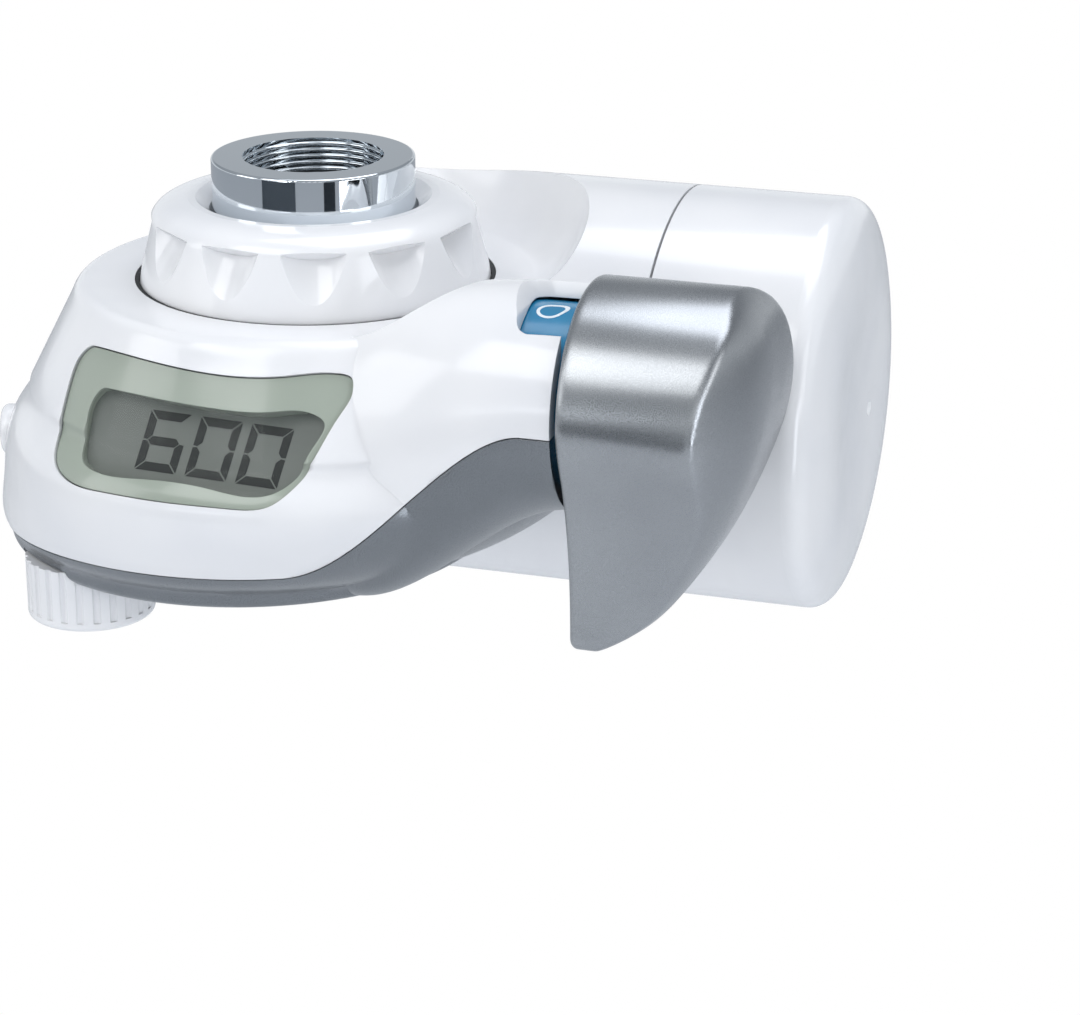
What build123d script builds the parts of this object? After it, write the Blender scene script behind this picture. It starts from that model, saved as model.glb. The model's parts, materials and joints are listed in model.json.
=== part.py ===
from build123d import *
import math
import os

os.makedirs("parts", exist_ok=True)

# Faucet mount water filter. Millimetres. +Z is up and -Y is the front, where the display looks.
# The origin is on the tap's axis, at the adapter's top rim, where the tap's thread goes in.
# The round nose, with the nut on its ledge, stands in front of a lying sleeve that takes the
# cartridge from the right. A neck beside the nose carries the valve, the drum and the lever.

# Ledge and nose, turned about the tap's axis
ledge_z = -19.0
ledge_thickness = 3.9
ledge_radius = 35.6
cone_top_radius = 38.6
cone_top_depth = 3.0
cone_low_radius = 48.9
cone_low_depth = 22.8
bowl_joint_depth = 16.0
bowl_rows = [
    (20.0, 47.45, 0.0), (23.0, 48.9, -0.1), (27.5, 48.5, -1.5), (31.5, 47.0, -3.6), (35.0, 45.2, -6.1),
    (38.0, 42.5, -9.0),
]
bowl_seam_deg = 200.0
floor_radius = 38.8
floor_shift = -12.0
floor_depth = 43.0
floor_round = 2.4
wall = 2.4
pocket_start_radius = 34.4
pocket_flare_radius = 44.0
pocket_flare_rise = 12.0
groove_radius = 28.3
groove_depth = 1.5

# Adapter, seal and collar nut
adapter_radius = 15.85
tap_thread_radius = 11.0
tap_thread_depth = 10.4
washer_radius = 11.6
washer_thickness = 1.6
washer_gap = 0.1
waterway_radius = 8.0
flange_radius = 19.0
flange_top_z = -10.0
flange_bottom_z = -13.0
seal_thickness = 2.0
seal_inner_radius = 8.6
seal_outer_radius = 18.5
inlet_neck_radius = 20.0
screen_radius = 13.4
screen_seat_gap = 0.1
screen_thickness = 0.8
screen_hole_radius = 0.9
screen_pitch = 2.6
nut_bore_gap = 0.3
nut_skirt_radius = 27.5
nut_shoulder_radius = 25.6
nut_shoulder_z = -9.6
nut_top_radius = 19.6
nut_top_z = -6.2
nut_mouth_radius = 18.4
nut_lip_radius = 16.3
nut_lip_z = -9.7
nut_sink = 1.1
scoops = 12
scoop_first_deg = -69.0
scoop_radius = 6.2
scoop_top = (22.9, -10.4)
scoop_foot = (27.4, -17.0)

# Neck along X
valve_y = -25.0
valve_z = -26.5
neck_end_x = 51.5
neck_end_radius = 16.7
neck_root_x = 16.0
neck_root_half_depth = 11.6
neck_root_drop = 18.4
neck_root_top_drop = 8.0
neck_stations = 7

# Seam between the white upper shell and the grey lower shell, by X and by depth under the ledge
seam_left_x = -46.0
seam_left_depth = 39.0
seam_knee_x = 10.0
seam_knee_depth = 34.4
seam_end_x = 47.0
seam_end_depth = 8.8
seam_gap = 0.2

# Sleeve and cartridge, on their own axis along X
sleeve_y = 26.0
sleeve_z = -41.0
sleeve_radius = 33.0
sleeve_left_x = -20.0
sleeve_left_round = 12.0
sleeve_end_x = 53.2
bore_gap = 0.4
cartridge_seam_gap = 0.4
cartridge_end_x = 82.0
cartridge_edge_round = 4.0
cartridge_dome = 0.9
cartridge_left_x = 44.0
cartridge_wall = 2.0
dimple_radius = 1.5
dimple_sink = 0.5
dimple_y = 33.6
dimple_z = -43.9
head_thickness = 2.4
outer_spigot_radius = 11.0
outer_spigot_length = 7.0
inner_spigot_radius = 6.0
inner_spigot_length = 9.0
spigot_bore = 3.4
inlet_port_radius = 1.4
inlet_ports = 8
inlet_port_circle = 8.6
socket_gap = 0.06
ring_section = 1.6
ring_groove_gap = 0.05
block_radius = 22.4
block_bore = 7.0
block_cap_thickness = 2.4
fleece_thickness = 1.2
block_gap = 1.2

# Valve, drum and lever on the neck's axis
barrel_radius = 8.8
barrel_bore = 6.4
barrel_left_x = 36.0
barrel_floor = 1.6
barrel_right_x = 50.0
spool_gap = 0.06
spool_right_x = 47.9
spool_port_radius = 2.6
valve_cap_x = 48.1
stem_radius = 3.8
stem_flat = 0.8
stem_end_x = 62.0
drum_gap = 0.5
drum_wall = 1.6
drum_left_x = 43.7
drum_web_x = 51.0
window_left_x = 44.2
window_front_y = -36.0
window_back_y = -22.0
window_corner = 2.5
lever_gap = 1.0
lever_wall = 1.5
lever_hub_radius = 18.2
lever_back_deg = -20.0
lever_front_deg = 178.0
lever_tip_y = -35.4
lever_tip_z = -62.8
lever_tip_thickness = 4.2
lever_crease_round = 1.5
lever_crease_reach = 2.0
lever_rim_round = 1.2
lever_boss_radius = 6.0
lever_dome_y = -27.0
lever_dome_front_y = -50.0
lever_dome_sink = 6.0
lever_layers = 6
lever_end_line = [
    (64.0, -5.0), (73.6, -7.6), (77.6, -12.2), (78.8, -17.5), (79.0, -23.0), (78.4, -30.0),
    (76.8, -37.0), (74.6, -43.5), (70.9, -50.3), (66.8, -56.3), (61.0, -61.0), (54.0, -64.2),
]

# Manifold
tube_radius = 11.0
inlet_foot_depth = 19.0
duct_radius = 5.0
duct_bore = 3.2
socket_left_x = 21.0
socket_right_gap = 0.4
socket_radius = 14.2
outlet_x = -29.5
outlet_y = -25.0
outlet_boss_radius = 7.9
outlet_boss_top_depth = 29.0
outlet_bore = 6.2

# Outlet ring and spray plate
ring_radius = 10.0
ring_height = 9.8
ring_tuck = 1.8
ring_pocket_gap = 0.4
ring_pad_rim = 2.6
ring_pad_thickness = 2.2
ring_top_depth = floor_depth - ring_tuck
ring_low_depth = ring_top_depth + ring_height
ring_wall = 1.7
ring_flutes = 24
ring_flute_radius = 0.62
ring_lip = 2.6
thread_gap = 0.25
spray_thickness = 1.4
spray_hole_radius = 0.6
gasket_thickness = 0.7
outlet_boss_low_depth = ring_low_depth - 2 * spray_thickness - gasket_thickness - 0.1

# Display, in a plane that touches the cone
display_deg = -95.0
display_radius = 43.75
display_depth = 12.9
display_tilt = 27.5
display_gap = 0.15
frame_sink = 0.55
frame_thickness = 2.2
lens_sink = 1.0
lens_thickness = 0.6
lcd_sink = 5.95
lcd_thickness = 1.8
lcd_margin = 1.1
strip_height = 2.0
board_thickness = 1.2
cell_radius = 8.0
cell_thickness = 3.2
frame_outline = [
    (-20.6, 11.9), (-9.4, 10.3), (-1.0, 9.5), (5.7, 9.5), (13.0, 10.7), (19.6, 12.5), (22.0, 12.2),
    (22.5, 10.4), (21.4, 6.2), (19.7, 0.6), (17.3, -5.4), (14.8, -8.5), (8.6, -10.0), (-2.4, -10.5),
    (-13.1, -10.2), (-19.5, -9.3), (-23.4, -6.9), (-24.9, -0.2), (-24.8, 6.4), (-23.5, 10.6),
]
window_outline = [
    (-16.4, 5.6), (-5.8, 4.7), (3.9, 4.4), (12.0, 5.2), (17.6, 6.0), (19.3, 5.2), (18.6, 1.0),
    (17.2, -3.3), (14.8, -6.4), (4.5, -7.4), (-7.1, -7.5), (-15.1, -7.2), (-18.3, -5.6),
    (-19.0, -1.0), (-18.8, 3.4),
]

# Reset button on the nose's left flank
button_deg = 197.6
button_depth = 26.0
button_radius = 4.1
button_gap = 0.25
button_crown = 50.7
button_foot = 43.6
button_flange = 5.2
button_flange_thickness = 1.0
button_travel_gap = 0.9
switch_side = 6.0
switch_height = 3.4

# Screws between the two shells
screw_places = [(-34.0, 20.0), (-33.0, -7.0), (14.0, -21.0)]
screw_radius = 1.4
screw_head_radius = 2.6
screw_head_height = 1.8
screw_length = 9.0
screw_post_radius = 3.0
screw_boss_height = 5.0
screw_boss_wall = 0.6
screw_seat_skin = 0.8
screw_pilot_length = 7.5
screw_post_depth = floor_depth - screw_boss_height


def save(shape, name):
    """Write one node."""
    export_step(shape, f"parts/{name}.step")


def rod_z(radius, low, high, x=0.0, y=0.0):
    """Upright round bar between two heights."""
    return Pos(x, y, (low + high) / 2) * Cylinder(radius, high - low)


def rod_x(radius, low, high, y, z):
    """Round bar along X between two stations."""
    return Pos((low + high) / 2, y, z) * Rot(0, 90, 0) * Cylinder(radius, high - low)


def tube_x(outer, inner, low, high, y, z):
    """Round tube along X between two stations."""
    return rod_x(outer, low, high, y, z) - rod_x(inner, low - 1, high + 1, y, z)


def bar_between(start, end, radius):
    """Round bar from one point to another."""
    a, b = Vector(*start), Vector(*end)
    plane = Plane(origin=a, z_dir=b - a)
    return plane * Pos(0, 0, (b - a).length / 2) * Cylinder(radius, (b - a).length)


def turned(points):
    """Revolve a closed outline of (radius, height) about Z."""
    return revolve(make_face(Plane.XZ * Polyline(*points, close=True)), axis=Axis.Z)


def depth_z(depth):
    """Height of a level that lies this deep under the ledge."""
    return ledge_z - depth


def cone_radius(depth):
    """Radius of the nose's cone at this depth under the ledge."""
    run = cone_low_radius - cone_top_radius
    return cone_top_radius + (depth - cone_top_depth) * run / (cone_low_depth - cone_top_depth)


def bowl(inset):
    """Lower part of the nose, whose level rounds move to the left as they go down."""
    slope = math.atan2(cone_low_radius - cone_top_radius, cone_low_depth - cone_top_depth)
    last_depth, last_radius, last_shift = bowl_rows[-1]
    part = (floor_depth - inset - last_depth) / (floor_depth - last_depth)
    foot_radius = last_radius + part * (floor_radius - last_radius) - inset
    foot_shift = last_shift + part * (floor_shift - last_shift)
    rows = [(bowl_joint_depth, cone_radius(bowl_joint_depth) - inset / math.cos(slope), 0.0)]
    for depth, radius, shift in bowl_rows:
        lean = slope if radius > last_radius and shift == 0 else 0.0
        rows.append((depth, radius - inset / math.cos(lean), shift))
    rows.append((floor_depth - inset, foot_radius, foot_shift))
    rounds = []
    for depth, radius, shift in rows:
        rounds.append(Pos(shift, 0, depth_z(depth)) * Rot(0, 0, bowl_seam_deg) * Circle(radius))
    body = loft(rounds)
    foot = body.edges().sort_by(Axis.Z)[:1]
    return fillet(foot, floor_round)


def nose(inset, top_depth):
    """Nose drawn in from its outer surface by inset: a turned cone over the bowl."""
    run = cone_low_radius - cone_top_radius
    drop = cone_low_depth - cone_top_depth
    slant = math.hypot(run, drop)
    draw = inset * slant / drop
    joint = (cone_radius(bowl_joint_depth) - draw, depth_z(bowl_joint_depth))
    top = depth_z(top_depth)
    if top_depth > 0:
        upper = Polyline((0, top), (cone_radius(top_depth) - draw, top), joint)
    else:
        high = (cone_top_radius - draw, depth_z(cone_top_depth))
        lip = Spline((ledge_radius, ledge_z), high, tangents=[(1, 0), (run, -drop)])
        upper = Line((0, ledge_z), (ledge_radius, ledge_z)) + lip + Line(high, joint)
    base = Polyline(joint, (0, joint[1]), (0, top))
    return revolve(make_face(Plane.XZ * (upper + base)), axis=Axis.Z) + bowl(inset)


def neck(inset, end_x):
    """Trumpet from inside the nose to the round end that faces the lever."""
    sections = []
    for i in range(neck_stations):
        s = i / (neck_stations - 1)
        soft = s * s * (3 - 2 * s)
        x = end_x - s * (end_x - neck_root_x)
        bottom = valve_z - neck_end_radius - neck_root_drop * soft
        top = valve_z + neck_end_radius - neck_root_top_drop * s**3
        half_y = neck_end_radius - (neck_end_radius - neck_root_half_depth) * s**2.6
        plane = Plane(origin=(x, valve_y, (top + bottom) / 2), x_dir=(0, 1, 0), z_dir=(1, 0, 0))
        sections.append(plane * Ellipse(half_y - inset, (top - bottom) / 2 - inset))
    return loft(sections)


def sleeve(inset, end_x):
    """Lying round body with a rounded left end."""
    r = sleeve_radius - inset
    left = sleeve_left_x + inset
    rounding = sleeve_left_round - inset
    outline = make_face(Polyline((left, 0), (end_x, 0), (end_x, r), (left, r), close=True))
    corner = outline.vertices().filter_by(lambda v: v.X < left + 0.01 and v.Y > r - 0.01)
    outline = fillet(corner, rounding)
    return Pos(0, sleeve_y, sleeve_z) * revolve(outline, axis=Axis.X)


def ledge_pocket(drop, grow):
    """Space over the ledge, which flares out softly where the neck and the sleeve rise."""
    base = ledge_z - drop
    near, far = pocket_start_radius + grow, pocket_flare_radius + grow
    top = base + 60
    flare = Spline(
        (near, base), (far, base + pocket_flare_rise),
        tangents=[(1, 0.15), (0.35, 1)], tangent_scalars=[1.1, 0.9],
    )
    rest = Polyline(
        (far, base + pocket_flare_rise), (far + 20, top), (0, top), (0, base), (near, base),
    )
    return revolve(make_face(Plane.XZ * (flare + rest)), axis=Axis.Z)


def below_seam(gap):
    """Everything under the seam between the shells, lowered by gap."""
    a = (seam_left_x, depth_z(seam_left_depth) - gap)
    b = (seam_knee_x, depth_z(seam_knee_depth) - gap)
    c = (seam_end_x, depth_z(seam_end_depth) - gap)
    first = Spline(a, b, tangents=[(1, 0.22), (1, 0.06)])
    rise = Spline(b, c, tangents=[(1, 0.06), (1, 0.04)], tangent_scalars=[0.8, 0.7])
    far = 140.0
    rest = Polyline(c, (far, c[1]), (far, -far), (-far, -far), (-far, a[1]), a)
    return extrude(make_face(Plane.XZ * (first + rise + rest)), amount=far, both=True)


def display_plane():
    """Plane that touches the cone at the display's middle, with its normal outward."""
    a, t = math.radians(display_deg), math.radians(display_tilt)
    origin = (
        display_radius * math.cos(a), display_radius * math.sin(a), depth_z(display_depth)
    )
    normal = (math.cos(a) * math.cos(t), math.sin(a) * math.cos(t), math.sin(t))
    return Plane(origin=origin, x_dir=(-math.sin(a), math.cos(a), 0), z_dir=normal)


def grown(outline, amount):
    """Outline moved outward by amount, point by point, square to its neighbours' chord."""
    moved = []
    for i, (x, y) in enumerate(outline):
        before, after = outline[i - 1], outline[(i + 1) % len(outline)]
        dx, dy = after[0] - before[0], after[1] - before[1]
        long = math.hypot(dx, dy)
        moved.append((x - dy / long * amount, y + dx / long * amount))
    return moved


def display_prism(outline, grow, low, high):
    """Straight prism on the display's outline, between two heights over its plane."""
    face = make_face(Spline(*grown(outline, grow), periodic=True))
    return Location(display_plane()) * Pos(0, 0, low) * extrude(face, amount=high - low)


def button_line(radius):
    """Point on the button's axis at this distance from the tap's axis."""
    a = math.radians(button_deg)
    return (radius * math.cos(a), radius * math.sin(a), depth_z(button_depth))


def cavity():
    """Room inside both shells and inside the sleeve."""
    room = nose(wall, ledge_thickness) + neck(wall, neck_end_x + 1)
    room = room + sleeve(wall, sleeve_end_x + 1)
    return room - ledge_pocket(ledge_thickness, wall)


def screw_posts():
    """Posts that hang under the upper shell, one for each screw."""
    inside = nose(wall / 2, ledge_thickness / 2)
    foot, top = depth_z(screw_post_depth), depth_z(1.0)
    posts = [rod_z(screw_post_radius, foot, top, x, y) & inside for x, y in screw_places]
    return Part() + posts


def switch_rib():
    """Rib under the shoulder that backs the reset switch."""
    x, y, z = button_line(button_foot - button_travel_gap - switch_height - 1.5)
    rib = Pos(x, y, z + 8) * Rot(0, 0, button_deg) * Box(3.0, 8.0, 26.0)
    return rib & nose(wall / 2, ledge_thickness / 2)


def upper_housing():
    """White shell with the ledge, the neck and the sleeve in one piece."""
    under = below_seam(0)
    body = (nose(0, 0) - under) + (neck(0, neck_end_x) - under)
    body = body + sleeve(0, sleeve_end_x) - ledge_pocket(0, 0)
    body = body - cavity()
    body = body + screw_posts() + switch_rib()
    body = body - rod_z(groove_radius, ledge_z - groove_depth, ledge_z + 1)
    neck_top = flange_bottom_z - seal_thickness
    body = body + rod_z(inlet_neck_radius, ledge_z - groove_depth - 0.5, neck_top)
    body = body - rod_z(waterway_radius, ledge_z - ledge_thickness - 1, neck_top + 1)
    seat = screen_thickness + 0.2
    body = body - rod_z(screen_radius + screen_seat_gap, neck_top - seat, neck_top + 1)
    body = body - display_prism(frame_outline, 0, -13.0, 9.0)
    body = body - bar_between(button_line(44), button_line(56), button_radius + button_gap)
    body = body - window_notch()
    post_foot = depth_z(screw_post_depth)
    pilots = [
        rod_z(screw_radius, post_foot - 1, post_foot + screw_pilot_length, x, y)
        for x, y in screw_places
    ]
    return body - pilots


def window_notch():
    """Notch in the neck's end rim through which the drum shows."""
    long = neck_end_x + 4 - window_left_x
    wide = window_back_y - window_front_y
    middle_y = (window_back_y + window_front_y) / 2
    block = Pos(window_left_x + long / 2, middle_y, valve_z + neck_end_radius) * Box(long, wide, 22)
    corners = block.edges().filter_by(Axis.Z).sort_by(Axis.X)[:2]
    block = fillet(corners, window_corner)
    keep = neck_end_radius - wall + 0.01
    return block - rod_x(keep, window_left_x - 2, neck_end_x + 5, valve_y, valve_z)


def lower_trim():
    """Grey lower shell of the nose and the neck."""
    under = below_seam(seam_gap)
    body = (nose(0, 0) & under) + (neck(0, neck_end_x) & under)
    body = body - nose(wall, ledge_thickness) - neck(wall, neck_end_x + 1)
    foot = depth_z(floor_depth)
    post_foot = depth_z(screw_post_depth)
    solid = nose(0, 0)
    pocket_top = depth_z(ring_top_depth) + ring_pocket_gap
    pad_top = pocket_top + ring_pad_thickness
    pad = rod_z(ring_radius + ring_pad_rim, foot, pad_top, outlet_x, outlet_y)
    body = body + (pad & solid)
    for x, y in screw_places:
        body = body + (rod_z(screw_post_radius + screw_boss_wall, foot, post_foot, x, y) & solid)
    body = body - sleeve(-0.3, sleeve_end_x)
    seat = screw_seat_z()
    for x, y in screw_places:
        body = body - rod_z(screw_head_radius + 0.1, foot - 2, seat, x, y)
        body = body - rod_z(screw_radius + 0.2, foot - 2, post_foot + 1, x, y)
    body = body - rod_z(ring_radius + ring_pocket_gap, foot - 2, pocket_top, outlet_x, outlet_y)
    body = body - rod_z(outlet_boss_radius + 0.2, foot - 2, pad_top + 2, outlet_x, outlet_y)
    return body


def screw_seat_z():
    """Height where the screw heads bear on the lower shell."""
    return depth_z(floor_depth) + screw_head_height + screw_seat_skin


def housing_screws():
    """Screws from below, one for each post."""
    seat = screw_seat_z()
    screws = []
    for x, y in screw_places:
        screws.append(rod_z(screw_head_radius, seat - screw_head_height, seat, x, y))
        screws.append(rod_z(screw_radius, seat, seat + screw_length, x, y))
    return Part() + screws


def tap_adapter():
    """Chromed adapter with the bore for the tap's thread and a seat for its washer."""
    seat_z = -tap_thread_depth
    groove_z = seat_z - washer_thickness
    r = tap_thread_radius
    body = turned([
        (waterway_radius, flange_bottom_z), (flange_radius, flange_bottom_z),
        (flange_radius, flange_top_z), (adapter_radius, flange_top_z), (adapter_radius, 0),
        (r, 0), (r, seat_z), (washer_radius, seat_z), (washer_radius, groove_z),
        (waterway_radius, groove_z),
    ])
    rims = body.edges().filter_by(GeomType.CIRCLE)
    rims = rims.filter_by(lambda e: e.radius > adapter_radius - 0.1 and e.center().Z > -0.1)
    return fillet(rims, 0.4)


def adapter_washer():
    """Flat washer under the tap's end."""
    high = -tap_thread_depth - washer_gap
    low = -tap_thread_depth - washer_thickness
    return rod_z(washer_radius, low, high) - rod_z(waterway_radius + 0.2, low - 1, high + 1)


def collar_seal():
    """Flat ring between the adapter and the inlet neck."""
    low, high = flange_bottom_z - seal_thickness, flange_bottom_z
    return rod_z(seal_outer_radius, low, high) - rod_z(seal_inner_radius, low - 1, high + 1)


def inlet_screen():
    """Pierced disc in the inlet neck."""
    high = flange_bottom_z - seal_thickness - 0.2
    disc = rod_z(screen_radius, high - screen_thickness, high)
    holes = []
    for ring in range(3):
        count = max(1, 6 * ring)
        for i in range(count):
            a = 2 * math.pi * i / count
            x, y = ring * screen_pitch * math.cos(a), ring * screen_pitch * math.sin(a)
            holes.append(rod_z(screen_hole_radius, high - 2, high + 1, x, y))
    return disc - holes


def collar_nut():
    """Nut that clamps the housing to the adapter, with scoops for the fingers."""
    low = ledge_z - nut_sink
    bore = inlet_neck_radius + nut_bore_gap
    outline = Polyline(
        (bore, low), (nut_skirt_radius, low), (nut_skirt_radius, ledge_z),
        (nut_shoulder_radius, nut_shoulder_z),
    )
    shoulder = Spline(
        (nut_shoulder_radius, nut_shoulder_z), (nut_top_radius, nut_top_z),
        tangents=[(-0.2, 1), (-1, 0.12)], tangent_scalars=[1.1, 1.1],
    )
    rest = Polyline(
        (nut_top_radius, nut_top_z), (nut_mouth_radius, nut_top_z),
        (nut_lip_radius, nut_top_z - 1.8), (nut_lip_radius, nut_lip_z), (bore, nut_lip_z),
        (bore, low),
    )
    nut = revolve(make_face(Plane.XZ * (outline + shoulder + rest)), axis=Axis.Z)
    run, drop = scoop_foot[0] - scoop_top[0], scoop_foot[1] - scoop_top[1]
    slant = math.hypot(run, drop)
    out = (-drop / slant * scoop_radius, run / slant * scoop_radius)
    start = (scoop_top[0] + out[0], 0, scoop_top[1] + out[1])
    far = 3.0
    end = (start[0] + run * far, 0, start[2] + drop * far)
    scoop = bar_between(start, end, scoop_radius)
    step = 360 / scoops
    return nut - [Rot(0, 0, scoop_first_deg + step * i) * scoop for i in range(scoops)]


def manifold():
    """Water duct block: inlet, valve barrel, cartridge socket and outlet."""
    under_ledge = ledge_z - ledge_thickness
    inlet_foot = depth_z(inlet_foot_depth)
    boss_top, boss_low = depth_z(outlet_boss_top_depth), depth_z(outlet_boss_low_depth)
    face_x = cartridge_left_x - socket_right_gap
    step_x = cartridge_left_x - outer_spigot_length - socket_right_gap
    end_x = step_x - inner_spigot_length - socket_right_gap
    lane_z = depth_z(floor_depth - wall) + duct_radius + 0.2
    lanes = [
        ((0, 0, under_ledge - 8.5), (42, -24, valve_z - 1.5)),
        ((38.9, valve_y + 1, valve_z - 6), (38.5, -20, valve_z - 14.6)),
        ((38.5, -20, valve_z - 14.6), (39.2, 16, valve_z - 14.6)),
        ((end_x - 2, sleeve_y - 1, sleeve_z - 1), (outlet_x, outlet_y, lane_z)),
    ]
    body = rod_z(tube_radius, inlet_foot, under_ledge)
    body = body + rod_x(barrel_radius, barrel_left_x, barrel_right_x, valve_y, valve_z)
    body = body + rod_x(socket_radius, socket_left_x, face_x, sleeve_y, sleeve_z)
    body = body + rod_z(outlet_boss_radius, boss_low, boss_top, outlet_x, outlet_y)
    for start, end in lanes:
        body = body + bar_between(start, end, duct_radius - 0.8)
    elbow = lanes[1][1]
    body = body + Pos(*elbow) * Sphere(duct_radius - 0.8)
    body = body - rod_z(waterway_radius, inlet_foot + 2, under_ledge + 1)
    bore_left = barrel_left_x + barrel_floor
    body = body - rod_x(barrel_bore, bore_left, barrel_right_x + 1, valve_y, valve_z)
    outer, inner = outer_spigot_radius + socket_gap, inner_spigot_radius + socket_gap
    body = body - rod_x(outer, step_x, face_x + 1, sleeve_y, sleeve_z)
    body = body - rod_x(inner, end_x, step_x + 1, sleeve_y, sleeve_z)
    body = body - rod_z(outlet_bore, boss_low - 1, boss_top - 3, outlet_x, outlet_y)
    for start, end in lanes:
        body = body - bar_between(start, end, duct_bore - 0.6)
    return body - Pos(*elbow) * Sphere(duct_bore - 0.6)


def valve_spool():
    """Turning spool with its cross port and the flatted stem for the lever."""
    r = barrel_bore - spool_gap
    left = barrel_left_x + barrel_floor + 0.1
    body = rod_x(r, left, spool_right_x, valve_y, valve_z) + stem(0)
    middle = (left + spool_right_x) / 2
    body = body - rod_z(spool_port_radius, valve_z - r - 1, valve_z + r + 1, middle, valve_y)
    for x in spool_ring_stations():
        groove = tube_x(r + 1, r - 1.15, x - 0.65, x + 0.65, valve_y, valve_z)
        body = body - groove
    return body


def stem(grow):
    """Flatted round stem from the spool into the lever."""
    bar = rod_x(stem_radius + grow, spool_right_x, stem_end_x + grow, valve_y, valve_z)
    cut_z = valve_z + stem_radius + grow - stem_flat + 5
    long = stem_end_x + 10 - drum_web_x
    flat = Pos(drum_web_x + long / 2, valve_y, cut_z) * Box(long, 20, 10)
    return bar - flat


def spool_ring_stations():
    """Stations of the two spool rings along X."""
    return [barrel_left_x + barrel_floor + 1.5, spool_right_x - 1.3]


def round_ring(centre_radius, section, x, y, z):
    """Rubber ring about a line along X."""
    return Pos(x, y, z) * Rot(0, 90, 0) * Torus(centre_radius, section)


def spool_rings():
    """Rubber rings of the spool."""
    centre = barrel_bore - 0.02 - 0.58
    return Part() + [round_ring(centre, 0.58, x, valve_y, valve_z) for x in spool_ring_stations()]


def valve_cap():
    """Ring that closes the barrel round the stem."""
    return tube_x(barrel_bore, stem_radius + 0.08, valve_cap_x, barrel_right_x, valve_y, valve_z)


def indicator_drum():
    """Blue drum that shows the chosen outlet in the window."""
    r = neck_end_radius - wall - drum_gap
    web_end = neck_end_x + lever_gap
    drum = rod_x(r, drum_left_x, web_end, valve_y, valve_z)
    drum = drum - rod_x(r - drum_wall, drum_left_x - 1, drum_web_x, valve_y, valve_z)
    return drum - stem(0)


def lever_profile(inset):
    """Side outline of the lever: round hub above, tail hanging in front."""
    r = lever_hub_radius - inset
    tip_z = lever_tip_z + inset
    front_y, back_y = lever_tip_y + inset, lever_tip_y + lever_tip_thickness - inset
    round_z = tip_z + (back_y - front_y) / 2
    span = valve_z - tip_z

    def hub(deg):
        a = math.radians(deg)
        return (valve_y + r * math.cos(a), valve_z + r * math.sin(a))

    top = ThreePointArc(hub(lever_back_deg), hub(90), hub(lever_front_deg))
    front = Spline(
        hub(lever_front_deg), (valve_y - 0.82 * r, valve_z - 0.26 * span),
        (front_y - 1.2, valve_z - 0.58 * span), (front_y, round_z),
        tangents=[(0.04, -1), (0.02, -1)],
    )
    tip = ThreePointArc((front_y, round_z), ((front_y + back_y) / 2, tip_z), (back_y, round_z))
    back = Spline(
        (back_y, round_z), (back_y + 4.5, valve_z - 0.66 * span), hub(lever_back_deg),
        tangents=[(0.02, 1), (0.3, 1)],
    )
    return Plane.YZ * make_face(top + front + tip + back)


def lever_cap():
    """Block whose right side is the lever's domed end."""
    layers = []
    left = neck_end_x - 10
    for step in range(lever_layers):
        y = lever_dome_front_y + (0 - lever_dome_front_y) * step / (lever_layers - 1)
        ahead = max(0.0, lever_dome_y - y)
        shift = lever_dome_sink * (ahead / (lever_dome_y - valve_y + lever_hub_radius)) ** 1.7
        side = [(x - shift, z) for x, z in lever_end_line]
        high, low = side[0][1], side[-1][1]
        plane = Plane(origin=(0, y, 0), x_dir=(1, 0, 0), z_dir=(0, -1, 0))
        rest = Polyline(side[-1], (left, low), (left, high), side[0])
        layers.append(plane * make_face(Spline(*side) + rest))
    return loft(layers)


def lever_form(inset):
    """Lever's outer form, drawn in by inset."""
    start = neck_end_x + lever_gap
    long = lever_end_line[4][0] + 4 - start
    bar = Pos(start, 0, 0) * extrude(lever_profile(inset), amount=long, dir=(1, 0, 0))
    return bar & (Pos(-inset, 0, 0) * lever_cap())


def selector_lever():
    """Lever with a soft crease round its end, hollow from the left, with a boss for the stem."""
    start = neck_end_x + lever_gap
    body = lever_form(0)
    crease = body.edges().filter_by(lambda e: e.bounding_box().max.X > start + lever_crease_reach)
    crease = crease.filter_by(lambda e: e.geom_type == GeomType.BSPLINE)
    body = fillet(crease, lever_crease_round)
    rim = body.edges().filter_by(lambda e: e.bounding_box().max.X < start + 0.01)
    body = fillet(rim, lever_rim_round)
    body = body - lever_form(lever_wall)
    boss = rod_x(lever_boss_radius, start, stem_end_x + lever_wall, valve_y, valve_z)
    end = lever_end_line[4][0] - lever_dome_sink
    rib = Pos((start + end) / 2 + 1, valve_y, valve_z)
    ribs = Box(end - start - 2, 2 * lever_hub_radius, lever_wall * 0.7)
    ribs = ribs + Box(end - start - 2, lever_wall * 0.7, 2 * lever_hub_radius)
    inside = (boss + rib * ribs) & lever_form(lever_wall / 2)
    return body + boss + inside - stem(0)


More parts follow.
